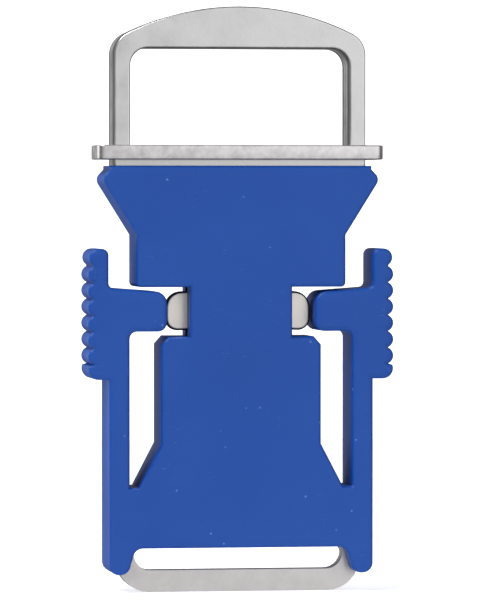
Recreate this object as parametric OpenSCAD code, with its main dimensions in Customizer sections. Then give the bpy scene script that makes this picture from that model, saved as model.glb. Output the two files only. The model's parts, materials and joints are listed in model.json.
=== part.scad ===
// Side-release webbing buckle with two squeeze levers, shown latched.
// X runs across the webbing, Y from the front face to the back, Z up towards the tongue.
// The origin is on the upper edge of the lower webbing bar, at mid width and mid depth.

/* [Webbing slots] */
// Width of the lower webbing slot, for 40 mm webbing
slot_w = 41; // [40.5:0.5:42]
// Clear height of the lower webbing slot, from the steel bar to the housing
slot_h = 4.5; // [4.3:0.1:4.6]
// Height of the lower steel bar below the slot
bar_h = 4.2; // [3.6:0.1:5]
// Width of the upper webbing slot, in the tongue
loop_slot_w = 43; // [41:0.5:43.4]
// Width across the tongue's loop and shoulders
loop_w = 49.3; // [48.3:0.1:49.4]

/* [Housing] */
// Depth of the moulded housing and levers, front to back
depth = 12.4; // [12:0.1:13.5]
// Width across the feet and the lever arms
body_w = 51.8; // [51.4:0.1:51.8]
// Width of the block below the lock pieces
block_w = 31.3; // [30.8:0.1:31.6]
// Width of the waist that the lock pieces pass into
waist_w = 20; // [19.6:0.1:20.2]
// Width of the head above the waist
head_w = 41; // [40.8:0.1:41.4]
// Width across the flared mouth
mouth_w = 53.8; // [53.4:0.1:54.6]
// Height of the mouth above the origin
mouth_z = 78.6; // [78.6:0.1:78.8]

/* [Levers] */
// Thickness of a lever arm
arm_t = 4.1; // [3.7:0.1:4.1]
// Height of the bending root of a lever
root_z = 17.2; // [17:0.1:17.6]
// Number of rounded ribs on a thumb grip
grip_ribs = 7; // [5:1:7]
// Spacing of the ribs
rib_pitch = 3.17; // [3:0.01:3.2]

/* [Steel parts] */
// Thickness of each of the two frame plates
plate_t = 1.8; // [1.5:0.1:1.8]
// Thickness of the tongue core and the lock pieces
blade_t = 3; // [2.6:0.1:3]
// Thickness of each cheek on the tongue's loop
cheek_t = 3; // [2.6:0.1:3.2]
// Diameter of the lock pieces' pivot pins
pin_d = 4; // [3.4:0.1:4]

/* [Hidden] */

// Heights of the block's top and the head's underside, which the knobs of the lock pieces lie between
block_z = 45.5;
head_z = 55.1;

// Layers through the depth
half_depth = depth / 2;
blade_y = blade_t / 2;
gap_y = blade_y + 0.15;
plate_y = gap_y + plate_t;
cavity_y = plate_y + 0.15;
cheek_y = blade_y + cheek_t;

// Levers
arm_out = body_w / 2;
arm_mid = arm_out - arm_t / 2;
arm_in = arm_out - arm_t;
root_gap = 0.3;
nub_x = 14.5;
nub_top = 54.3;
nub_bottom = 46.5;
grip_x = 29.95;
grip_in = 25.9;
grip_z = 40.1;
grip_top = 62.55;

// Lock pieces
pivot_x = 11;
pivot_z = 59.5;
pin_r = pin_d / 2;
running = 0.05;
hook_z = 69.1;
seat_x = 2.4;
seat_top = 51.6;
seat_z = 48.5;
spring_z = 49.6;
lock_in = 7;

// Tongue
flange_z = 79.8;
flange_t = 2.8;
flange_w = 56;
shoulder_z = 78;
loop_z = flange_z + flange_t;
loop_slot_top = 101.4;
loop_top = 109.5;
crown_r = 49.5;
crown_z = loop_top - crown_r;
corner_r = 4.6;
corner_x = loop_w / 2 - corner_r;
corner_z = crown_z + sqrt((crown_r - corner_r) * (crown_r - corner_r) - corner_x * corner_x);
crown_a = atan2(corner_z - crown_z, corner_x);
tip_z = 63.2;
eject_z = tip_z - 0.1;

// Fasteners as [x, z]
pilot_r = 1;
boss_r = 1.6;
corner_screws = [[-20.4, 74.2], [20.4, 74.2]];
middle_screws = [[0, 19.5], [0, 37.5]];
foot_screws = [[-22.6, 13.4], [22.6, 13.4]];
screws = concat(corner_screws, middle_screws, foot_screws);
rivets = [[-12, 7.3], [12, 7.3]];
rivet_r = 1.4;
seat_rivet_r = 1.1;

// Points of an arc from angle a to angle b, as a list for a polygon
function arc(x, z, r, a, b, n = 8) =
    [for (i = [0 : n]) let (t = a + (b - a) * i / n) [x + r * cos(t), z + r * sin(t)]];

// Closes a right-hand half outline with its own mirror image
function both(half) =
    concat(half, [for (i = [len(half) - 1 : -1 : 0]) [-half[i][0], half[i][1]]]);

// Stands a drawing in X and Z on edge, from depth y0 to depth y1
module slab(y0, y1)
    translate([0, y1, 0]) rotate([90, 0, 0]) linear_extrude(y1 - y0) children();

// A round bar along the depth, at p = [x, z]
module rod(p, r, y0, y1)
    translate([p[0], y1, p[1]]) rotate([90, 0, 0]) cylinder(h = y1 - y0, r = r, $fn = 64);

module mirrored(side) mirror([side < 0 ? 1 : 0, 0, 0]) children();

// A coil spring along +Z: mean radius r, wire diameter w, length h over the wire
module coil(r, w, h, turns) {
    steps = 14 * turns;
    sides = 8;
    pts = [for (i = [0 : steps], k = [0 : sides - 1])
        let (a = 360 * turns * i / steps, b = 360 * k / sides, q = r + w / 2 * cos(b))
        [q * cos(a), q * sin(a), w / 2 + (h - w) * i / steps + w / 2 * sin(b)]];
    walls = [for (i = [0 : steps - 1], k = [0 : sides - 1])
        let (n = (k + 1) % sides)
        [i * sides + n, i * sides + k, (i + 1) * sides + k, (i + 1) * sides + n]];
    first = [for (k = [0 : sides - 1]) k];
    last = [for (k = [sides - 1 : -1 : 0]) steps * sides + k];
    polyhedron(points = pts, faces = concat(walls, [first, last]), convexity = 6);
}

// ---- Housing ----

// Half outline of the moulded body, without the levers
function body_half() = concat(
    [[0, slot_h]],
    arc(19.2, slot_h - 2, 2, 90, 0),
    arc(23.6, 1.4, 2, 180, 270),
    arc(arm_out - 2, 1.4, 2, 270, 360),
    [[arm_out, root_z - root_gap / 2], [arm_in, root_z - root_gap / 2], [arm_in, 16.3]],
    [[20, 16.3], [block_w / 2, 24.6], [block_w / 2, block_z - 1.6]],
    [[block_w / 2 - 1.4, block_z], [waist_w / 2, block_z], [waist_w / 2, head_z]],
    arc(head_w / 2 - 0.9, head_z + 0.9, 0.9, 270, 360, 5),
    [[head_w / 2, 65.2]],
    arc(mouth_w / 2 - 1.6, 75.9, 1.6, 330, 405, 6),
    [[mouth_w / 2 - 1.3, mouth_z - 0.7], [mouth_w / 2 - 1.3, mouth_z], [0, mouth_z]]
);

// Half outline of a frame plate, grown by g on its outer edge
function frame_half(g = 0) = concat(
    [[0, -bar_h - g], [17.5, -bar_h - g]],
    arc(17.5, 2.3, 6.5 + g, 270, 360),
    [[24 + g, 10], [18.8 + g, 14.8], [13.9 + g, 23.8], [13.9 + g, 43.6 + g]],
    [[8.4 + g, 43.6 + g], [8.4 + g, 56.6 - g], [18 + g, 56.6 - g], [18 + g, 65.6]],
    [[23 + g, 73], [23 + g, 76.2 + g], [0, 76.2 + g]]
);

// Half of the space that the lock pieces and the blade move in
lock_space = [
    [0, block_z], [waist_w, block_z], [waist_w, head_z], [9.9, head_z], [9.9, head_z + 1.2],
    [19.4, head_z + 1.2], [19.4, 66], [20.8, 70], [18.4, 72.6], [18.4, mouth_z], [0, mouth_z]
];

// Side view of the space that the frame plates fill
frame_side = [
    [1.95, -bar_h - 1], [1.95, 9], [cavity_y, 13], [cavity_y, 76.4], [-cavity_y, 76.4],
    [-cavity_y, 13], [-1.95, 9], [-1.95, -bar_h - 1]
];

// Extrudes a drawing in Y and Z across the whole width
module across(w) rotate([90, 0, 90]) translate([0, 0, -w / 2]) linear_extrude(w) children();

module frame_space() intersection() {
    slab(-half_depth, half_depth) polygon(both(frame_half(0.15)));
    across(mouth_w) polygon(frame_side);
}

module shell(y0, y1, hole_r) difference() {
    union() {
        difference() {
            slab(y0, y1) polygon(both(body_half()));
            frame_space();
            slab(-gap_y, gap_y) polygon(both(lock_space));
            translate([-loop_w / 2 - 0.3, -cheek_y - 0.2, mouth_z - 1.7])
                cube([loop_w + 0.6, 2 * cheek_y + 0.4, 3]);
        }
        for (p = concat(corner_screws, middle_screws)) rod(p, boss_r, y0, y1);
    }
    for (p = screws) rod(p, hole_r, -4, half_depth + 1);
    for (p = screws) rod(p, 2.1, half_depth - 1.4, half_depth + 1);
}

module front_shell() color("royalblue") shell(-half_depth, 0, pilot_r);

module back_shell() color("royalblue") shell(0, half_depth, pilot_r + 0.15);

// Six thread-forming screws with pan heads, sunk in the back
module housing_screws() color("silver") for (p = screws) difference() {
    union() {
        rod(p, pilot_r, -4, half_depth - 1.4);
        rod(p, 1.9, half_depth - 1.4, half_depth - 0.3);
    }
    for (a = [0, 90]) translate([p[0], half_depth - 0.3, p[1]]) rotate([0, a, 0])
        cube([2.4, 1.2, 0.5], center = true);
}

// ---- Steel frame ----

// side is -1 for the front plate and 1 for the back plate
module frame_plate(side) color("lightgray") difference() {
    intersection() {
        slab(-plate_y - 1, plate_y + 1) polygon(both(frame_half()));
        across(2 * loop_w) polygon([for (p = [
            [0, -bar_h - 1], [0, 9], [gap_y, 13], [gap_y, mouth_z], [plate_y, mouth_z],
            [plate_y, 13], [plate_t, 9], [plate_t, -bar_h - 1]
        ]) [side * p[0], p[1]]]);
    }
    slab(-plate_y - 1, plate_y + 1) polygon(both(concat(
        [[0, 0]], arc(slot_w / 2 - 3.2, 3.2, 3.2, 270, 360), [[slot_w / 2, 4.9], [0, 4.9]]
    )));
    for (p = rivets) rod(p, rivet_r, -plate_y - 1, plate_y + 1);
    for (s = [-1, 1]) rod([s * pivot_x, pivot_z], pin_r, -plate_y - 1, plate_y + 1);
    rod([0, seat_z], seat_rivet_r, -plate_y - 1, plate_y + 1);
    for (p = concat(corner_screws, middle_screws))
        rod(p, boss_r + 0.15, -plate_y - 1, plate_y + 1);
}

module frame_front_plate() frame_plate(-1);

module frame_back_plate() frame_plate(1);

module frame_rivets() color("gainsboro") for (p = rivets) rod(p, rivet_r, -plate_t, plate_t);

module pivot_pin(side) color("gainsboro") rod([side * pivot_x, pivot_z], pin_r, -plate_y, plate_y);

module left_pivot_pin() pivot_pin(-1);

module right_pivot_pin() pivot_pin(1);

// Block between the plates that all three springs push against
module spring_seat() color("gainsboro") difference() {
    translate([-seat_x, -blade_y, seat_top - 6]) cube([2 * seat_x, blade_t, 6]);
    rod([0, seat_z], seat_rivet_r, -blade_t, blade_t);
}

module seat_rivet() color("gainsboro") rod([0, seat_z], seat_rivet_r, -plate_y, plate_y);

// ---- Springs and ejector ----

module lock_spring(side) color("dimgray") mirrored(side)
    translate([seat_x, 0, spring_z]) rotate([0, 90, 0]) coil(1.15, 0.4, lock_in - seat_x, 4);

module left_lock_spring() lock_spring(-1);

module right_lock_spring() lock_spring(1);

module ejector_spring() color("dimgray")
    translate([0, 0, seat_top]) coil(1.2, 0.4, eject_z - 4.5 - seat_top, 6);

// Plate that the spring holds up against the tip of the blade
module ejector() color("silver") {
    slab(-blade_y, blade_y) polygon(both([
        [0, eject_z - 4.5], [3.8, eject_z - 4.5], [4.6, eject_z - 3.7], [4.6, eject_z], [0, eject_z]
    ]));
    translate([0, 0, seat_top + 1.6]) cylinder(h = eject_z - seat_top - 4.6, r = 0.8, $fn = 48);
}

// ---- Moving parts ----

// Outline of the right lever: bending root, arm, ribbed grip and the nub that meets the lock piece
function lever_outline() = concat(
    [[arm_in, root_z + root_gap / 2], [arm_out, root_z + root_gap / 2]],
    [[arm_out, grip_z - 2.9]],
    arc(grip_x - 2.05, grip_z - 0.9, 2.0, 270, 380),
    [for (k = [0 : grip_ribs - 2])
        each arc(grip_x - 1.69, grip_z + (k + 0.5) * rib_pitch, 1.69, -66, 66, 8)],
    arc(28, grip_top - 1.75, 1.75, -55, 90),
    arc(grip_in + 1.3, grip_top - 1.3, 1.3, 90, 180, 6),
    arc(grip_in - 1, nub_top + 1.6, 1, 360, 270, 4),
    arc(nub_x + 2.4, nub_top - 2.4, 2.4, 90, 180, 8),
    arc(nub_x + 1.8, nub_bottom + 1.8, 1.8, 180, 270, 6),
    arc(arm_in - 1.4, nub_bottom - 1.4, 1.4, 90, 0, 6)
);

module lever(side) color("royalblue") mirrored(side)
    slab(-half_depth, half_depth) polygon(lever_outline());

module left_lever() lever(-1);

module right_lever() lever(1);

// Outline of the right lock piece: D-shaped knob, neck, pivot boss and hook
function lock_outline() = concat(
    [[lock_in, 46.8]],
    arc(11.8, 49, 2.4, 270, 360),
    arc(11, 51, 3.2, 0, 90),
    [[9.6, 54.2]],
    arc(pivot_x, pivot_z, 2.9, 240, 325, 6),
    [[17.4, 61.8]],
    arc(16.2, 70.6, 1.2, 0, 90, 5),
    [[12.5, 71.8], [11.2, 70.7], [11.2, hook_z], [14, hook_z], [14, 63.6]],
    arc(pivot_x, pivot_z, 2.9, 55, 180, 8),
    [[6.4, 56.5], [6.4, 54.2], [lock_in, 53.2]]
);

module lock_piece(side) color("silver") mirrored(side) difference() {
    slab(-blade_y, blade_y) polygon(lock_outline());
    rod([pivot_x, pivot_z], pin_r + running, -blade_t, blade_t);
}

module left_lock_piece() lock_piece(-1);

module right_lock_piece() lock_piece(1);

// Rounded corner and crown of the tongue's loop, as half of its outline
function loop_half() = concat(
    arc(corner_x, corner_z, corner_r, 0, crown_a, 8),
    arc(0, crown_z, crown_r, crown_a, 90, 12)
);

module loop_slot() polygon(both(concat(
    [[0, loop_z], [loop_slot_w / 2, loop_z]],
    arc(loop_slot_w / 2 - 3.4, loop_slot_top - 3.4, 3.4, 0, 90),
    [[0, loop_slot_top]]
)));

// Core plate: loop above, notched blade below
module tongue_core() color("silver") slab(-blade_y, blade_y) difference() {
    polygon(both(concat(
        [[0, tip_z], [7.5, tip_z], [13, 67.4], [13, hook_z - 0.65], [10.7, hook_z - 0.2]],
        [[10.7, 73.3], [18, 73.3], [18, shoulder_z], [loop_w / 2, shoulder_z]],
        loop_half()
    )));
    loop_slot();
}

module cheek(y0, y1) color("silver") slab(y0, y1) difference() {
    polygon(both(concat([[0, shoulder_z], [loop_w / 2, shoulder_z]], loop_half())));
    loop_slot();
}

module tongue_front_cheek() cheek(-cheek_y, -blade_y);

module tongue_back_cheek() cheek(blade_y, cheek_y);

// Collar plate that stops the tongue at the mouth
module tongue_flange() color("silver") translate([0, 0, flange_z]) linear_extrude(flange_t)
    difference() {
        union() {
            square([flange_w - 3, depth], center = true);
            square([flange_w, depth - 3], center = true);
            for (x = [-1, 1], y = [-1, 1])
                translate([x * (flange_w / 2 - 1.5), y * (half_depth - 1.5)]) circle(r = 1.5, $fn = 32);
        }
        square([loop_w, 2 * cheek_y], center = true);
    }

front_shell();
back_shell();
housing_screws();
frame_front_plate();
frame_back_plate();
frame_rivets();
left_pivot_pin();
right_pivot_pin();
spring_seat();
seat_rivet();
left_lock_spring();
right_lock_spring();
ejector_spring();
ejector();
left_lever();
right_lever();
left_lock_piece();
right_lock_piece();
tongue_core();
tongue_front_cheek();
tongue_back_cheek();
tongue_flange();
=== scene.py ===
# %% [markdown]
# # A harness buckle: steel tongue, moulded housing, squeeze levers
# The imported CAD model is loaded first and is never moved. Every new piece takes its
# outline from the CAD node that it stands for, so the sizes are the CAD model's own.
# What is added here is what the eye reads as real: rounded edges, levers that meet the
# housing at their roots, wire springs, and finishes whose grain, wear and sheen are given in mm.

# %% Load the frame and note its box
import json
import math
from itertools import accumulate

import bmesh
import bpy
import numpy as np
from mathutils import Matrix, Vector
from mathutils.geometry import tessellate_polygon


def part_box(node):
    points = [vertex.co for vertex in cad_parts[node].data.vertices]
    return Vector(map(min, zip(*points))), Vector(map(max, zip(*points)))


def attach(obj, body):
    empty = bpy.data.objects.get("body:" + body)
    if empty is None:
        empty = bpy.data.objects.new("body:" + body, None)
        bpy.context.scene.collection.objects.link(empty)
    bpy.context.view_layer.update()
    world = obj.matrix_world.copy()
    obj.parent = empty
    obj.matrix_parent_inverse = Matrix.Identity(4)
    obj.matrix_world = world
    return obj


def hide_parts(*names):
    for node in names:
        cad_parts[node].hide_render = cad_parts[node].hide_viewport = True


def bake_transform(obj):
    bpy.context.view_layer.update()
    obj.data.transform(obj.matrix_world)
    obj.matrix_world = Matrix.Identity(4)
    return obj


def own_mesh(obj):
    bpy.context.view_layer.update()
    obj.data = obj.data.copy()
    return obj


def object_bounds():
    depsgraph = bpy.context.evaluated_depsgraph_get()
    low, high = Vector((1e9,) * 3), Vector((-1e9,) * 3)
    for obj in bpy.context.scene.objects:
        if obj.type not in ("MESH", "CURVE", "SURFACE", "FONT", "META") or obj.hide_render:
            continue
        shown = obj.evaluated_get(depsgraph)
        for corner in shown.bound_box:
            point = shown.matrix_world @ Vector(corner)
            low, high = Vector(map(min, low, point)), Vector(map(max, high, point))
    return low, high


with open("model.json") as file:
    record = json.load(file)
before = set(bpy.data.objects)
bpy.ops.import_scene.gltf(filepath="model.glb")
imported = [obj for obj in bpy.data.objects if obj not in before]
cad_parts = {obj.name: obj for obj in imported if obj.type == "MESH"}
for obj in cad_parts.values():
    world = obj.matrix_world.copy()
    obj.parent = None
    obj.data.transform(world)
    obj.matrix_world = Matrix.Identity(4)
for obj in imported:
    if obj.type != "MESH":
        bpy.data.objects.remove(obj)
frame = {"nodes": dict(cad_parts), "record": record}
cad_low, cad_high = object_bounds()
MM = 0.001
MICRON = 1e-6

# %% [markdown]
# ## Reading an outline off a CAD node
# Most pieces of a buckle are blanked or moulded from one flat drawing, with the same
# outline from front to back. That drawing is the rim of the node's flat end face: the
# triangle edges that belong to only one triangle of the face. Taking it from the
# node, rather than typing it again, keeps the new piece in step with the CAD.


# %% Find the rims of a flat end face
def rims(node, axis):
    """Closed 2D outlines of the end face at the lowest coordinate along axis, biggest first.

    A directed edge is on the rim if its reverse isn't in the face. The outer rim is
    turned anticlockwise and each hole clockwise, so material is always on the left."""
    mesh = frame["nodes"][node].data
    points = np.empty(len(mesh.vertices) * 3)
    mesh.vertices.foreach_get("co", points)
    points = points.reshape(-1, 3)
    corners = np.empty(len(mesh.loops), int)
    mesh.loops.foreach_get("vertex_index", corners)
    key = np.round(points / MICRON).astype(int)
    _, first, same = np.unique(key, axis=0, return_index=True, return_inverse=True)
    triangles = same.ravel()[corners].reshape(-1, 3)
    places = points[first]
    level = places[:, axis]
    flat = triangles[(level[triangles] < level.min() + 2 * MICRON).all(1)]
    edges = np.concatenate([flat[:, [0, 1]], flat[:, [1, 2]], flat[:, [2, 0]]])
    code = edges[:, 0] * len(places) + edges[:, 1]
    back = edges[:, 1] * len(places) + edges[:, 0]
    edges = edges[~np.isin(code, back)]
    follow = np.full(len(places), -1)
    follow[edges[:, 0]] = edges[:, 1]
    plane = [a for a in range(3) if a != axis]
    found, left = [], set(edges[:, 0].tolist())
    while left:
        start = min(left)
        walk = list(accumulate(range(len(left)), lambda i, _: follow[i], initial=start))
        walk = walk[: walk.index(start, 1)]
        left -= set(walk)
        found.append(places[walk][:, plane])
    found.sort(key=lambda r: -abs(area(r)))
    return [r if (area(r) > 0) == (k == 0) else r[::-1] for k, r in enumerate(found)]


def area(rim):
    """Signed area of a closed outline: half the sum of the cross products of its sides."""
    after = np.roll(rim, -1, 0)
    return (rim[:, 0] * after[:, 1] - rim[:, 1] * after[:, 0]).sum() / 2


print("lever rims", [len(r) for r in rims("left_lever", 1)])


# %% Divide the long sides of an outline
def divided(rim, step, keep=None):
    """The outline with extra points, so that no side is longer than step.

    A side of length L gets ceil(L / step) equal parts; the sides marked in keep get one."""
    after = np.roll(rim, -1, 0)
    parts = np.maximum(1, np.ceil(np.linalg.norm(after - rim, axis=1) / step)).astype(int)
    if keep is not None:
        parts[keep] = 1
    side = np.repeat(np.arange(len(rim)), parts)
    share = (np.arange(len(side)) - np.repeat(np.cumsum(parts) - parts, parts)) / parts[side]
    return rim[side] + (after - rim)[side] * share[:, None]


print("lever rim divided to 1 mm", len(divided(rims("left_lever", 1)[0], MM)))

# %% [markdown]
# ## A plate with rounded edges
# Moulded plastic has a radius on every edge, so that it leaves the mould, and blanked
# steel is tumbled until its edges are soft. A Bevel modifier can do this on a clean
# mesh, but a profile carried round the outline gives full control: the profile is a
# quarter circle, a straight wall and another quarter circle, and at each outline point
# it is laid along the mitre between the two sides that meet there.


# %% Work out the profile, and the mitre at each outline point
def profile(thick, front, back, steps=5):
    """Inset and depth of a wall that starts and ends in a quarter circle.

    Inset is r(1 - sin t) and depth is r(1 - cos t) for t from 0 to 90 degrees. One more
    point 0.05 mm further in, at the same depth, keeps the flat face's shading flat."""
    t = np.linspace(0, math.pi / 2, steps + 1)
    lip = 0.05 * MM
    inset = [[front + lip], front * (1 - np.sin(t)), (back * (1 - np.sin(t)))[::-1], [back + lip]]
    depth = [[0], front * (1 - np.cos(t)), thick - (back * (1 - np.cos(t)))[::-1], [thick]]
    return np.concatenate(inset), np.concatenate(depth)


def mitres(rim):
    """For each outline point, the step that moves both of its sides out by one unit.

    The outward normal of a side (dx, dy) is (dy, -dx); the mitre is the sum of the two
    normals divided by one plus their dot product. At a very sharp corner it is divided
    by 0.32, so that it can't grow long."""
    side = np.roll(rim, -1, 0) - rim
    side /= np.linalg.norm(side, axis=1)[:, None]
    normal = np.stack([side[:, 1], -side[:, 0]], 1)
    before = np.roll(normal, 1, 0)
    both = normal + before
    return both / np.maximum(1 + (normal * before).sum(1), 0.32)[:, None]


print("a profile has", len(profile(3 * MM, 0.5 * MM, 0.5 * MM)[0]), "points")


# %% Carry the profile round, and let the piece stand for its CAD node
def plate(name, outlines, axis, low, thick, front, back, ways=None):
    """A solid between low and low + thick along axis, with rounded front and back edges.

    Point (i, j) is outline point i moved in by inset j along its mitre, at depth j. The
    flat ends are the first and last rings, filled across with the holes left open."""
    inset, depth = profile(thick, front, back)
    plane = [a for a in range(3) if a != axis]
    ways = ways or [mitres(r) for r in outlines]
    rings, count, starts = len(inset), 0, []
    verts, quads = [], []
    for rim, way in zip(outlines, ways):
        n = len(rim)
        grid = np.empty((n, rings, 3))
        grid[:, :, plane] = rim[:, None] - way[:, None] * inset[None, :, None]
        grid[:, :, axis] = low + depth
        i = np.arange(n)[:, None] * rings
        after = np.roll(i, -1, 0)
        j = np.arange(rings - 1)[None]
        around = np.stack([i + j, after + j, after + j + 1, i + j + 1], -1)
        quads.append(around.reshape(-1, 4) + count)
        verts.append(grid.reshape(-1, 3))
        starts.append(count + np.arange(n) * rings)
        count += n * rings
    verts, quads, starts = [np.concatenate(part) for part in (verts, quads, starts)]
    if axis == 1:
        quads = quads[:, ::-1]
    ends = []
    for ring, out in ((0, -1), (rings - 1, 1)):
        index = starts + ring
        cuts = np.cumsum([len(r) for r in outlines])[:-1]
        lines = [[Vector(p) for p in part] for part in np.split(verts[index], cuts)]
        tri = index[np.array(tessellate_polygon(lines))]
        a, b, c = verts[tri[:, 0]], verts[tri[:, 1]], verts[tri[:, 2]]
        wrong = np.cross(b - a, c - a)[:, axis] * out < 0
        tri[wrong] = tri[wrong][:, ::-1]
        ends.append(tri)
    faces = quads.tolist() + np.concatenate(ends).tolist()
    through = np.tile(depth / thick, count // rings)
    return solid(name, verts, faces, {"through": through})


def solid(name, verts, faces, notes=None, smooth=34):
    """A mesh object at the origin, shaded smooth except across edges over smooth degrees.

    notes are values for each vertex, kept as attributes for a material to read."""
    mesh = bpy.data.meshes.new(name)
    mesh.from_pydata(verts.tolist(), [], faces)
    mesh.polygons.foreach_set("use_smooth", np.ones(len(mesh.polygons), bool))
    mesh.set_sharp_from_angle(angle=math.radians(smooth))
    for key, values in (notes or {}).items():
        note = mesh.attributes.new(key, "FLOAT", "POINT")
        note.data.foreach_set("value", values.astype(np.float32))
    mesh.validate()
    mesh.update()
    piece = bpy.data.objects.new(name, mesh)
    bpy.context.scene.collection.objects.link(piece)
    return piece


def slot_of(node):
    """The name of the finish that the record gives a CAD node."""
    return next(s["material_slot"] for s in frame["record"]["subparts"] if s["node"] == node)


def stands_for(piece, node, body=None):
    """Hides the CAD node and notes the finish slot that the record gives it; with a body, the
    piece moves with it.
    """
    if body:
        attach(piece, body)
    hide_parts(node)
    made[piece.name] = (piece, slot_of(node))


made = {}

# %% [markdown]
# ## The squeeze levers
# Each lever is one moulding with the housing, and a person's thumb bends it at its
# root. A stiff piece on a hinge would open a crack there. Here each lever is one piece
# that doesn't move, and its foot is brought down 0.3 mm to meet the shell. The rounding
# matches the housing's at the root and is wider on the grip, where a thumb presses.

# %% Shape both levers
EDGE = 0.65 * MM
ROOT_GAP = 0.3 * MM
# Share of EDGE that the rounding goes in at each height; it is small at the short step
# above the lowest rib, which has no room for more.
HEIGHTS = np.array([18, 22, 25, 31, 37.6, 38.6, 39.6, 40.6]) * MM
SHARES = [1.0, 1.3, 1.3, 1.9, 1.9, 0.7, 0.7, 1.9]
root_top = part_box("left_lever")[0].z
root_cut = root_top - ROOT_GAP
for side in ("left", "right"):
    node = f"{side}_lever"
    rim = rims(node, 1)[0]
    foot = rim[:, 1] < root_top + 10 * MICRON
    rim = divided(rim, 0.6 * MM, keep=foot & np.roll(foot, -1))
    foot = rim[:, 1] < root_top + 10 * MICRON
    way = mitres(rim)
    way[foot] = np.stack([np.sign(rim[foot, 0] - rim[foot, 0].mean()), np.zeros(2)], 1)
    way *= np.interp(rim[:, 1], HEIGHTS, SHARES)[:, None]
    rim[foot, 1] = root_cut
    low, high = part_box(node)
    lever = plate(f"lever_{side}", [rim], 1, low.y, high.y - low.y, EDGE, EDGE, [way])
    stands_for(lever, node)
    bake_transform(lever)
    print(lever.name, len(lever.data.polygons), "faces")

# %% [markdown]
# ## The housing halves, and other pieces with pockets
# The shells have pockets for the steel, so one outline can't describe them. Here the
# CAD mesh is copied, its loose triangles are joined, flat areas are cleared of inner
# edges, and a Bevel modifier rounds only the edges that carry a weight. Where a lever
# grows out of the shell there is no edge on the real moulding, so none gets a weight.
# A Weighted Normal modifier then keeps the large flat faces free of shading streaks.


# %% Copy a node and round chosen edges
def softened(name, node, width, chosen, segments=4, held=True):
    """A joined copy of a CAD node with a Bevel on the edges where chosen(a, b, turn) is true.

    a and b are the edges' end points as arrays, and turn is the angle between the two
    faces that meet there, in degrees. held lets the modifier narrow the whole rounding
    to what the tightest spot has room for."""
    build = bmesh.new()
    build.from_mesh(frame["nodes"][node].data)
    bmesh.ops.remove_doubles(build, verts=build.verts, dist=2 * MICRON)
    # Clearing from the outside in leaves the few edges that lead to a hole clear of the rim.
    build.edges.sort(key=lambda e: -abs(e.verts[0].co.x + e.verts[1].co.x))
    build.edges.ensure_lookup_table()
    bmesh.ops.dissolve_limit(
        build, angle_limit=math.radians(0.6), verts=build.verts, edges=build.edges
    )
    build.normal_update()
    mesh = bpy.data.meshes.new(name)
    turn = np.degrees([e.calc_face_angle(0.0) for e in build.edges])
    build.to_mesh(mesh)
    build.free()
    place = np.empty(len(mesh.vertices) * 3)
    mesh.vertices.foreach_get("co", place)
    place = place.reshape(-1, 3)
    ends = np.empty(len(mesh.edges) * 2, int)
    mesh.edges.foreach_get("vertices", ends)
    a, b = place[ends[0::2]], place[ends[1::2]]
    weight = chosen(a, b, turn).astype(np.float32)
    share = mesh.attributes.new("bevel_weight_edge", "FLOAT", "EDGE")
    share.data.foreach_set("value", weight)
    mesh.polygons.foreach_set("use_smooth", np.ones(len(mesh.polygons), bool))
    mesh.set_sharp_from_angle(angle=math.radians(30))
    piece = bpy.data.objects.new(name, mesh)
    bpy.context.scene.collection.objects.link(piece)
    bevel = piece.modifiers.new("rounded edges", "BEVEL")
    bevel.limit_method = "WEIGHT"
    bevel.width, bevel.segments = width, segments
    bevel.use_clamp_overlap = held
    bevel.harden_normals = True
    even = piece.modifiers.new("large faces keep flat shading", "WEIGHTED_NORMAL")
    even.keep_sharp = True
    print(name, len(mesh.polygons), "faces,", int((weight > 0).sum()), "rounded edges")
    return piece


# %% Round the outer edges of both housing halves
SCREW_PLACES = [(-20.4, 74.2), (20.4, 74.2), (0, 19.5), (0, 37.5), (-22.6, 13.4), (22.6, 13.4)]
SCREW_CLEAR = 2.4 * MM
HEAD_CORNER, HEAD_CORNER_SHARE = (24.8 * MM, 77.5 * MM), 0.75
SEAM_SHARE = 0.12
screws = np.array(SCREW_PLACES) * MM
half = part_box("front_shell")[1].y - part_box("front_shell")[0].y


def outer_edges(a, b, turn):
    """Edges of the outer front or back face, but not round screw holes or at lever roots.

    The short sides at the head's corners take HEAD_CORNER_SHARE of the width, which is
    all they have room for. The line where the two halves meet takes SEAM_SHARE of it,
    for the fine groove of a parting line."""
    near = 0.01 * MM
    on_face = (np.abs(np.abs(a[:, 1]) - half) < near) & (np.abs(np.abs(b[:, 1]) - half) < near)
    at_root = (np.abs(a[:, 2] - root_cut) < 0.05 * MM) & (np.abs(b[:, 2] - root_cut) < 0.05 * MM)
    middle = (a + b) / 2
    apart = np.hypot(middle[:, None, 0] - screws[:, 0], middle[:, None, 2] - screws[:, 1])
    screw = (apart < SCREW_CLEAR).any(1)
    seam = (np.abs(a[:, 1]) < near) & (np.abs(b[:, 1]) < near) & ~at_root & ~screw & (turn > 60)
    corner = (np.abs(middle[:, 0]) > HEAD_CORNER[0]) & (middle[:, 2] > HEAD_CORNER[1])
    share = np.where(corner, HEAD_CORNER_SHARE, 1.0)
    return (on_face & ~at_root & ~screw & (turn > 25)) * share + SEAM_SHARE * seam


for node in ("front_shell", "back_shell"):
    moulding = softened("housing_" + node.split("_")[0], node, EDGE, outer_edges, held=False)
    stands_for(moulding, node, "housing")

# %% [markdown]
# ## The steel frame and the screws
# The frame plates are blanked and then joggled, so their edges run in three directions
# and one outline can't carry a profile. The same joined copy with a Bevel suits them,
# with the small radius that tumbling leaves. The screws get the finer edge of a turned
# head.


# %% Soften the steel frame and the screws
def sheet_edges(_start, _end, turn):
    """Every edge where two faces meet at more than 50 degrees."""
    return turn > 50


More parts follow.
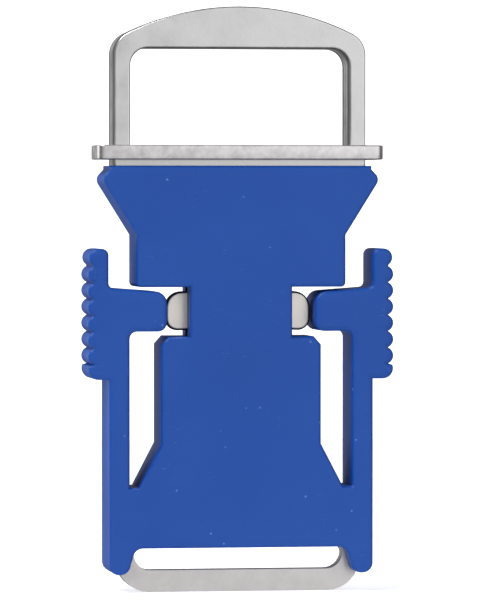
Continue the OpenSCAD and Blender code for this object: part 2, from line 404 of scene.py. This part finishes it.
TUMBLED_EDGE = 0.28 * MM
SCREW_EDGE = 0.12 * MM
for node in ("frame_front_plate", "frame_back_plate"):
    bar = softened(node.replace("frame", "bar"), node, TUMBLED_EDGE, sheet_edges, 3)
    stands_for(bar, node, "housing")
heads = softened("screws", "housing_screws", SCREW_EDGE, sheet_edges, 2)
stands_for(heads, "housing_screws", "housing")

# %% [markdown]
# ## The tongue
# The tongue is a stack of three steel plates: a core that carries the latching blade
# and a cheek on each side that makes the loop comfortable for webbing. The outer edges
# of the cheeks have a tumbled radius; the faces that meet inside have almost none, so
# fine joint lines show on the edge of the loop. All are flat plates, so each is an
# outline with a rounded profile. The collar is one too, lying across the tongue.

# %% Shape the tongue plates and the collar
OUTSIDE, INSIDE, COLLAR_EDGE = 0.35 * MM, 0.08 * MM, 0.3 * MM
for node, front, back in (
    ("tongue_front_cheek", OUTSIDE, INSIDE),
    ("tongue_core", INSIDE, INSIDE),
    ("tongue_back_cheek", INSIDE, OUTSIDE),
):
    low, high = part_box(node)
    outlines = [divided(r, 2.5 * MM) for r in rims(node, 1)]
    name = node.replace("tongue_", "loop_")
    stands_for(plate(name, outlines, 1, low.y, high.y - low.y, front, back), node, "tongue")
low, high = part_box("tongue_flange")
flat = rims("tongue_flange", 2)
collar = plate("collar", flat, 2, low.z, high.z - low.z, COLLAR_EDGE, COLLAR_EDGE)
stands_for(collar, "tongue_flange", "tongue")
print("tongue pieces", [n for n in made if n.startswith(("loop", "collar"))])

# %% [markdown]
# ## Lock pieces, ejector and springs
# The lock pieces are hardened steel with a D-shaped knob that shows in the notch beside
# each lever. The springs are drawn wire wound on a rod: a circle carried along a helix,
# with the last turn of each end closed up flat. The lock springs have four turns, so
# that they have room to close to under half their length.

# %% Shape the lock pieces
LOCK_EDGE = 0.5 * MM
for side in ("left", "right"):
    node = f"{side}_lock_piece"
    low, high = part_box(node)
    thick = high.y - low.y
    knob = plate(f"lock_{side}", rims(node, 1), 1, low.y, thick, LOCK_EDGE, LOCK_EDGE)
    stands_for(knob, node, f"{side}_lock")
print("lock pieces", [n for n in made if n.startswith("lock")])


# %% Wind the springs
def spring(name, start, along, length, radius, wire, turns, sides=10, steps=36):
    """A wire wound round a line, with closed ends; wire is its diameter.

    The wire's centre is at radius times (cos a, sin a), at height h(s). Over the first
    and last 0.8 of a turn h rises by only 0.8 of the wire's diameter, which closes the
    ends; between them it rises evenly. The tube is a circle of half the wire's
    diameter in the plane of the radius and the axis."""
    s = np.linspace(0, 1, turns * steps + 1)
    a = 2 * math.pi * turns * s
    edge = 0.8 / turns
    rise = np.clip((s - edge) / (1 - 2 * edge), 0, 1)
    closed = 1.02 * 0.8 * wire
    pitch = closed * (np.minimum(s, edge) / edge + np.clip((s - 1 + edge) / edge, 0, 1))
    h = wire / 2 + pitch + rise * (length - wire - 2 * closed)
    b = np.linspace(0, 2 * math.pi, sides, endpoint=False)
    r = radius + wire / 2 * np.cos(b)[None]
    u = r * np.cos(a)[:, None]
    v = r * np.sin(a)[:, None]
    w = h[:, None] + wire / 2 * np.sin(b)[None]
    verts = np.stack([w, u, v], -1) if along[0] else np.stack([u, v, w], -1)
    verts = verts.reshape(-1, 3) * ([along[0], 1, 1] if along[0] else [1, 1, 1]) + start
    i = np.arange(len(s) - 1)[:, None] * sides
    j = np.arange(sides)[None]
    k = (j + 1) % sides
    quads = np.stack([i + j, i + k, i + sides + k, i + sides + j], -1).reshape(-1, 4)
    ends = [list(range(sides))[::-1], list(range(len(s) * sides - sides, len(s) * sides))]
    return solid(name, verts, quads.tolist() + ends)


LOCK_COIL = {"radius": 1.15 * MM, "wire": 0.36 * MM, "turns": 4}
EJECTOR_COIL = {"radius": 1.2 * MM, "wire": 0.4 * MM, "turns": 8}
for side, way in (("left", -1), ("right", 1)):
    node = f"{side}_lock_spring"
    low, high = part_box(node)
    seat = (high.x if way < 0 else low.x, 0, (low.z + high.z) / 2)
    coil = spring(f"spring_{side}", seat, (way, 0, 0), high.x - low.x, **LOCK_COIL)
    stands_for(coil, node, "housing")
    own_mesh(coil)
low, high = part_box("ejector_spring")
seat = (0, 0, low.z)
coil = spring("spring_ejector", seat, (0, 0, 1), high.z - low.z, **EJECTOR_COIL)
stands_for(coil, "ejector_spring", "housing")
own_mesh(coil)
# The left coil is wound the other way round, so its faces are turned outwards again.
for piece, _ in made.values():
    if piece.name.startswith("spring"):
        build = bmesh.new()
        build.from_mesh(piece.data)
        bmesh.ops.recalc_face_normals(build, faces=build.faces)
        build.to_mesh(piece.data)
        build.free()
print("pieces so far", len(made))

# %% [markdown]
# ## Finishes
# A finish is a colour, a gloss and a relief, each with its own grain. The helper below
# adds one node with its settings and its links, and nothing else, so that each
# material reads from top to bottom as a list of what makes the surface look as it does.


# %% The helpers for finishes
def linear(code):
    """An sRGB hex colour as linear light.

    Each part v is v / 12.92 up to 0.04045, and ((v + 0.055) / 1.055) to the 2.4 above."""
    v = np.array([int(code[i : i + 2], 16) for i in (1, 3, 5)]) / 255
    return (*np.where(v <= 0.04045, v / 12.92, ((v + 0.055) / 1.055) ** 2.4), 1.0)


def node_in(tree, kind, settings=None, **inputs):
    """Adds one node. settings are its properties; inputs are values, or (node, output) links."""
    node = tree.nodes.new(kind)
    for key, value in (settings or {}).items():
        setattr(node, key, value)
    for key, value in inputs.items():
        name = int(key[1:]) if key[1:].isdigit() else key.replace("_", " ")
        socket = node.inputs[name]
        if isinstance(value, tuple) and isinstance(value[0], bpy.types.Node):
            tree.links.new(value[0].outputs[value[1]], socket)
        else:
            socket.default_value = value
    return node


def finish_of(name, **surface):
    """A new material with a Principled shader whose fixed values are set on its sockets.

    It comes back with its tree, its shader and the Object coordinates for patterns."""
    material = bpy.data.materials.new(name)
    material.use_nodes = True
    tree = material.node_tree
    shader = tree.nodes["Principled BSDF"]
    for key, value in surface.items():
        shader.inputs[key.replace("_", " ")].default_value = value
    place = node_in(tree, "ShaderNodeTexCoord")
    return material, tree, shader, (place, "Object")


def per_mm(size):
    """The texture scale that gives a pattern one cell for each size millimetres."""
    return 1000 / size


def ramp(tree, source, stops):
    """A colour ramp from (position, hex colour) stops."""
    node = node_in(tree, "ShaderNodeValToRGB", Fac=source)
    while len(node.color_ramp.elements) < len(stops):
        node.color_ramp.elements.new(0.5)
    for element, (at, code) in zip(node.color_ramp.elements, stops):
        element.position, element.color = at, linear(code)
    return node


print("plain blue in linear light", [round(v, 3) for v in linear("#2F53A4")[:3]])

# %% [markdown]
# ## Moulded nylon, royal blue
# The housing and levers are injection-moulded nylon. The mould was spark eroded, which
# leaves a satin skin with a fine even grain. Flow in the mould gives a very faint
# drift of shade over centimetres. Handling adds a few pale specks, and short scuffs
# where the gloss changes and the colour turns a little paler.

# %% Make the moulded nylon
NOISE, RANGE, MATH = "ShaderNodeTexNoise", "ShaderNodeMapRange", "ShaderNodeMath"
TIMES, GREATEST = {"operation": "MULTIPLY"}, {"operation": "MAXIMUM"}
SATIN, RUBBED = 0.44, 0.58
blue, tree, shader, where = finish_of("moulded_nylon_royal_blue", Roughness=SATIN, IOR=1.5)
shader.inputs["Specular IOR Level"].default_value = 0.32
# The shade drifts over about 28 mm.
drift = node_in(tree, NOISE, Vector=where, Scale=per_mm(28), Detail=2.0, Roughness=0.5)
shade = ramp(tree, (drift, "Fac"), [(0.3, "#064093"), (0.7, "#0C4599")])
# Pale specks about 0.4 mm wide: one in each cell of 3.2 mm, with most of them left out.
cells = node_in(tree, "ShaderNodeTexVoronoi", Vector=where, Scale=per_mm(3.2), Randomness=1.0)
rim_of_dot = {"From_Min": 0.05, "From_Max": 0.085, "To_Min": 1.0, "To_Max": 0.0}
dot = node_in(tree, RANGE, Value=(cells, "Distance"), **rim_of_dot)
few = node_in(tree, NOISE, Vector=where, Scale=per_mm(4), Detail=0.0)
only = node_in(tree, RANGE, Value=(few, "Fac"), From_Min=0.54, From_Max=0.58)
speck = node_in(tree, MATH, TIMES, _0=(dot, 0), _1=(only, 0))
# Scuffs: level streaks about 1.6 mm long and 0.3 mm wide, in patches of about 9 mm.
pull = node_in(tree, "ShaderNodeMapping", Vector=where, Scale=(1, 1, 5), Rotation=(0, 0.5, 0))
streak = node_in(tree, NOISE, Vector=(pull, 0), Scale=per_mm(1.6), Detail=3.0, Roughness=0.6)
patch = node_in(tree, NOISE, Vector=where, Scale=per_mm(9), Detail=1.0)
hard = node_in(tree, RANGE, Value=(streak, "Fac"), From_Min=0.62, From_Max=0.7)
there = node_in(tree, RANGE, Value=(patch, "Fac"), From_Min=0.55, From_Max=0.68)
scuff = node_in(tree, MATH, TIMES, _0=(hard, 0), _1=(there, 0))
worn = node_in(tree, MATH, TIMES, _0=(scuff, 0), _1=0.3)
marks = node_in(tree, MATH, GREATEST, _0=(worn, 0), _1=(speck, 0))
faint = node_in(tree, MATH, TIMES, _0=(marks, 0), _1=0.42)
tint = node_in(
    tree,
    "ShaderNodeMix",
    {"data_type": "RGBA"},
    _0=(faint, 0),
    _6=(shade, "Color"),
    _7=linear("#7FA0DC"),
)
tree.links.new(tint.outputs[2], shader.inputs["Base Color"])
gloss = node_in(tree, RANGE, Value=(scuff, 0), To_Min=SATIN, To_Max=RUBBED)
tree.links.new(gloss.outputs[0], shader.inputs["Roughness"])
# Spark grain is about 0.05 mm; it is drawn at 0.35 mm so that it shows.
grain = node_in(tree, NOISE, Vector=where, Scale=per_mm(0.35), Detail=2.0, Roughness=0.6)
relief = node_in(
    tree, "ShaderNodeBump", Strength=0.12, Distance=0.02 * MM, Height=(grain, "Fac")
)
# Thick moulded plastic sinks a little as it cools, in waves about 11 mm long.
sink = node_in(tree, NOISE, Vector=where, Scale=per_mm(11), Detail=1.0)
sunk = {"Strength": 0.25, "Distance": 0.25 * MM, "Height": (sink, "Fac")}
wave = node_in(tree, "ShaderNodeBump", Normal=(relief, 0), **sunk)
tree.links.new(wave.outputs[0], shader.inputs["Normal"])
print("nylon nodes", len(tree.nodes))

# %% [markdown]
# ## Steel finishes
# All the sheet steel is blanked, tumbled and plated or polished. Tumbling with ceramic
# chips leaves a soft mottle with short scratches in all directions. Some side walls are
# darkened in bands: painted dark reflection on the rounded edges of the tongue's cheeks,
# and painted shade on the walls of the lock pieces. The attribute `through` runs from 0
# at the front face to 1 at the back, and places those bands.


# %% One recipe for every steel
SCRATCH_LONG, SCRATCH_DRAWN_OUT = 2.4, 14


def steel(name, light, dark, rough, scratch=0.5, turn=0.6, bands=None, mottle=6.0):
    """Metal whose colour drifts from dark to light over mottle mm, with fine scratches.

    scratch is how much the scratches count beside the pits, and turn moves them to
    another part of the noise, so that two steels don't look alike. bands are (position,
    hex) stops through the thickness, which darken the side wall: painted dark reflection
    on the cheeks, painted shade on the lock pieces. Metal keeps the default index of
    refraction. Real scratches are about 0.02 mm wide and run every way; these run level,
    and are drawn 0.17 mm wide so that they show."""
    material, tree, shader, where = finish_of(name, Metallic=1.0, Roughness=rough)
    cloud = node_in(tree, NOISE, Vector=where, Scale=per_mm(mottle), Detail=4.0, Roughness=0.6)
    base = ramp(tree, (cloud, "Fac"), [(0.35, dark), (0.65, light)])
    colour = (base, "Color")
    # Painted light: the bands multiply the colour down on the side wall, as painted dark
    # reflection on the cheeks and painted shade on the lock pieces.
    if bands:
        note = node_in(tree, "ShaderNodeAttribute", {"attribute_name": "through"})
        edge = ramp(tree, (note, "Fac"), bands)
        darken = {"data_type": "RGBA", "blend_type": "MULTIPLY"}
        mixed = node_in(tree, "ShaderNodeMix", darken, _0=1.0, _6=colour, _7=(edge, "Color"))
        colour = (mixed, 2)
    tree.links.new(colour[0].outputs[colour[1]], shader.inputs["Base Color"])
    drawn = {"Scale": (1, 1, SCRATCH_DRAWN_OUT), "Rotation": (0, turn, 0)}
    pull = node_in(tree, "ShaderNodeMapping", Vector=where, **drawn)
    fine = {"Scale": per_mm(SCRATCH_LONG), "Detail": 4.0, "Roughness": 0.7}
    lines = node_in(tree, NOISE, Vector=(pull, 0), **fine)
    pits = node_in(tree, NOISE, Vector=where, Scale=per_mm(0.8), Detail=3.0)
    add = {"operation": "MULTIPLY_ADD"}
    height = node_in(tree, MATH, add, _0=(lines, "Fac"), _1=scratch, _2=(pits, "Fac"))
    bump = node_in(tree, "ShaderNodeBump", Strength=0.3, Distance=0.03 * MM, Height=(height, 0))
    tree.links.new(bump.outputs[0], shader.inputs["Normal"])
    gloss = {"From_Min": 0.3, "From_Max": 0.7, "To_Min": rough - 0.06, "To_Max": rough + 0.08}
    spread = node_in(tree, RANGE, Value=(cloud, "Fac"), **gloss)
    tree.links.new(spread.outputs[0], shader.inputs["Roughness"])
    return material


print("scratches are mm wide", round(SCRATCH_LONG / SCRATCH_DRAWN_OUT, 2))

# %% Painted dark reflection and painted shade on the side walls of steel pieces
# Painted light: each stop multiplies the steel's colour. WHITE leaves it as it is. The greys
# darken the cheeks' side walls as painted dark reflection on their rounded edges. The near-black
# darkens the lock pieces' walls as painted shade for the gaps beside the levers.
WHITE, PAINTED_DARK_REFLECTION_FRONT, PAINTED_DARK_REFLECTION_BACK, PAINTED_GAP_SHADE = "#FFFFFF", "#868686", "#8E8E8E", "#2A2A2C"
FRONT_BANDS = [(0, WHITE), (0.025, WHITE), (0.05, PAINTED_DARK_REFLECTION_FRONT), (0.92, PAINTED_DARK_REFLECTION_FRONT), (1, WHITE)]
BACK_BANDS = [(0, WHITE), (0.35, WHITE), (0.6, PAINTED_DARK_REFLECTION_BACK), (0.93, PAINTED_DARK_REFLECTION_BACK), (0.97, WHITE)]
LOCK_BANDS = [(0, WHITE), (0.01, WHITE), (0.03, PAINTED_GAP_SHADE), (0.97, PAINTED_GAP_SHADE), (0.99, WHITE)]
print("bands", {"front": len(FRONT_BANDS), "back": len(BACK_BANDS), "lock": len(LOCK_BANDS)})

# %% The steels, each for its own pieces
TONGUE_LOOK = ("#CFCECE", "#BFBEBE", 0.32, 0.25, 0.2)
finishes = {
    "housing_plastic": blue,
    # Polished stainless: bright and nearly even, with soft-edged reflections.
    "tongue_steel": steel("polished_tongue_steel", *TONGUE_LOOK),
    # Sheared and scuffed on its long edge: a coarse mottle, and scratches along the edge.
    "flange_steel": steel(
        "sheared_collar_steel", "#DDDBDB", "#BFBDBE", 0.36, 1.6, 1.57, mottle=2.0
    ),
    # Tumbled sheet: even light grey, with fine scratches.
    "frame_steel": steel(
        "tumbled_frame_steel", "#DAD7D7", "#CECBCB", 0.34, 0.6, 0.7, mottle=4.0
    ),
    # Hardened and tempered: slightly warm and satin; its side wall is darkened to near black as
    # painted shade for the gaps beside the levers.
    "lock_steel": steel(
        "hardened_lock_steel", "#E4E0DA", "#DAD6D0", 0.38, 0.3, 0.1, LOCK_BANDS, mottle=3.0
    ),
    # Turned bar: plain grey.
    "rivet_steel": steel("turned_rivet_steel", "#D0CFCD", "#BDBBB8", 0.35, 0.3),
    # Zinc plate: slightly blue, with a very fine mottle.
    "screw_steel": steel("zinc_plated_screw", "#CFD0D2", "#B9BABE", 0.3, 0.2, mottle=1.0),
    # Drawn spring wire: darker and slightly yellow, smooth from the die.
    "spring_wire": steel("drawn_spring_wire", "#B9B8B4", "#9F9D99", 0.3, 0.2, mottle=0.8),
}
# The cheeks' side walls carry bands of painted dark reflection.
cheeks = {
    "loop_front_cheek": steel("tongue_steel_painted_reflection_front_edge", *TONGUE_LOOK, FRONT_BANDS),
    "loop_back_cheek": steel("tongue_steel_painted_reflection_back_edge", *TONGUE_LOOK, BACK_BANDS),
}
print("finishes", sorted(m.name for m in finishes.values()))

# %% [markdown]
# ## Who wears which finish
# A buckle's pieces are finished before they are put together, so each piece has one
# finish all over. The record already names a finish for every CAD node, so the new
# pieces and the nodes that still show take theirs from there. Only the two cheeks
# differ from their neighbours, by the bands of painted dark reflection on their side walls.

# %% Put a finish on every piece, and on every CAD node that is still shown
for piece, slot in made.values():
    piece.data.materials.clear()
    piece.data.materials.append(cheeks.get(piece.name, finishes[slot]))
for name, node in frame["nodes"].items():
    for place in node.material_slots:
        place.material = finishes[slot_of(name)]
shown = [node for node in frame["nodes"].values() if not node.hide_render]
print("pieces", len(made), "CAD nodes shown", len(shown))

# %% [markdown]
# ## Light
# A small polished object needs something to reflect. Lamps alone would leave the steel
# black between their reflections, so the surroundings are a soft grey that changes
# along the Y direction: brightest in front, darker at the sides, fairly bright behind
# at an angle and darker straight behind. Flat steel then reads as light grey, and its
# round edges get darker lines. Three area lamps light the upper edges and the ribs: one
# overhead, one behind on the left and one in front on the right.

# %% Light the scene
world = bpy.data.worlds.new("studio")
bpy.context.scene.world = world
world.use_nodes = True
tree = world.node_tree
background = tree.nodes["Background"]
direction = node_in(tree, "ShaderNodeTexCoord")
parts = node_in(tree, "ShaderNodeSeparateXYZ", Vector=(direction, "Generated"))
depthwise = node_in(tree, RANGE, Value=(parts, "Y"), From_Min=-1.0, From_Max=1.0)
zones = [(0.0, "#DCDCDC"), (0.08, "#CECECE"), (0.22, "#646464"), (0.6, "#686868")]
zones += [(0.78, "#B0B0B0"), (0.93, "#A8A8A8"), (0.985, "#606060")]
sky = ramp(tree, (depthwise, 0), zones)
tree.links.new(sky.outputs["Color"], background.inputs["Color"])
background.inputs["Strength"].default_value = 1.04


def lamp(name, place, aim, size, power):
    """A square area lamp at place, in metres, that faces the point aim."""
    data = bpy.data.lights.new(name, "AREA")
    data.size, data.energy = size, power
    thing = bpy.data.objects.new(name, data)
    thing.location = place
    thing.rotation_euler = (Vector(aim) - Vector(place)).to_track_quat("-Z", "Y").to_euler()
    bpy.context.scene.collection.objects.link(thing)


middle = (cad_low + cad_high) / 2
lamp("overhead", (-0.36, -0.2, 0.68), middle, 0.35, 5.0)
lamp("left", (-0.8, 0.5, 0.25), middle, 1.0, 4.0)
lamp("front", (0.45, -0.7, 0.35), middle, 0.8, 2.0)

# %% [markdown]
# ## The floor
# A studio table is often a sheet of matt white card, lit until it has no edge. A
# large flat square just under the buckle does the same. It is nearly white with no
# gloss, and glows a little towards the back, which takes away the line where it ends
# and most of the shadow. Shiny pieces don't reflect it, as they would turn white.

# %% Lay the floor
REACH, FLOOR_GAP = 0.6, 0.01 * MM
corners = np.array([[-1, -1, 0], [1, -1, 0], [1, 1, 0], [-1, 1, 0]]) * [REACH, REACH, 1]
floor = solid("floor", corners + [0, 0, cad_low.z - FLOOR_GAP], [[0, 1, 2, 3]])
# Matt card: white with a faint drift of tone over 60 mm, and no gloss.
paint, tree, shader, where = finish_of("pale_floor", Roughness=0.9)
soft = node_in(tree, NOISE, Vector=where, Scale=per_mm(60))
tone = ramp(tree, (soft, "Fac"), [(0.3, "#F6F6F6"), (0.7, "#F9F9F9")])
tree.links.new(tone.outputs["Color"], shader.inputs["Base Color"])
shader.inputs["Specular IOR Level"].default_value = 0.0
shader.inputs["Emission Color"].default_value = linear("#FFFFFF")
across = node_in(tree, "ShaderNodeSeparateXYZ", Vector=where)
rise = {"From_Min": -0.2, "From_Max": 0.0, "To_Min": 0.0, "To_Max": 0.62}
glow = node_in(tree, RANGE, Value=(across, "Y"), **rise)
tree.links.new(glow.outputs[0], shader.inputs["Emission Strength"])
floor.data.materials.append(paint)
floor.visible_glossy = False
print("floor at mm", round((cad_low.z - FLOOR_GAP) / MM, 2))

# %% [markdown]
# ## The white backdrop
# The paper behind the buckle has to be white for the camera, while the steel reflects
# the grey surroundings. White surroundings would do one and spoil the other. So a ball
# with a radius of 4 m glows white for the camera only, and lights nothing. A point on it
# is 4 (cos e cos a, cos e sin a, sin e), for the way round a and the elevation e.

# %% Hang the white backdrop
ROUND, UP, FAR = 32, 16, 4
around = np.linspace(0, 2 * math.pi, ROUND + 1)[None, :-1]
height = np.linspace(-math.pi / 2, math.pi / 2, UP + 1)[:, None]
east, north = np.cos(height) * np.cos(around), np.cos(height) * np.sin(around)
sphere = FAR * np.stack(np.broadcast_arrays(east, north, np.sin(height)), -1)
i, j = np.arange(UP)[:, None] * ROUND, np.arange(ROUND)[None]
k = (j + 1) % ROUND
shell = np.stack([i + j, i + ROUND + j, i + ROUND + k, i + k], -1).reshape(-1, 4)
backdrop = solid("backdrop", sphere.reshape(-1, 3), shell.tolist())
# Lit paper: plain white all over, with no gloss.
paper, tree, shader, where = finish_of("white_backdrop", Roughness=1.0)
shader.inputs["Emission Color"].default_value = linear("#FFFFFF")
shader.inputs["Emission Strength"].default_value = 1.1
backdrop.data.materials.append(paper)
backdrop.visible_diffuse = backdrop.visible_glossy = backdrop.visible_shadow = False
backdrop.visible_transmission = backdrop.visible_volume_scatter = False
print("backdrop faces", len(backdrop.data.polygons))

# %% [markdown]
# ## The camera
# A small object is taken from a distance with a long lens, so that near and far edges
# stay nearly parallel. The camera stands a little to the left and just above level.
# The lens follows from half the height to be seen at the buckle: half the sensor
# divided by the lens is that half height divided by the distance. The Standard view
# transform keeps white card white, where the default one would turn it grey.

# %% Place the camera
TURNED, RAISED = math.radians(8.4), math.radians(1.2)
AWAY, HALF_VIEW = 0.975, 58.5 * MM
SENSOR = 36
aim = Vector((0.29, 0, 52.46)) * MM
level = math.cos(RAISED)
sight = Vector((-math.sin(TURNED) * level, -math.cos(TURNED) * level, math.sin(RAISED)))
camera = bpy.data.objects.new("camera", bpy.data.cameras.new("camera"))
camera.location = aim + AWAY * sight
camera.rotation_euler = (aim - camera.location).to_track_quat("-Z", "Y").to_euler()
camera.data.sensor_width = SENSOR
camera.data.lens = SENSOR / 2 / (HALF_VIEW / AWAY)
camera.data.clip_start, camera.data.clip_end = 0.01, 50
bpy.context.scene.collection.objects.link(camera)
bpy.context.scene.camera = camera
bpy.context.scene.view_settings.view_transform = "Standard"
print("lens mm", round(camera.data.lens, 1))
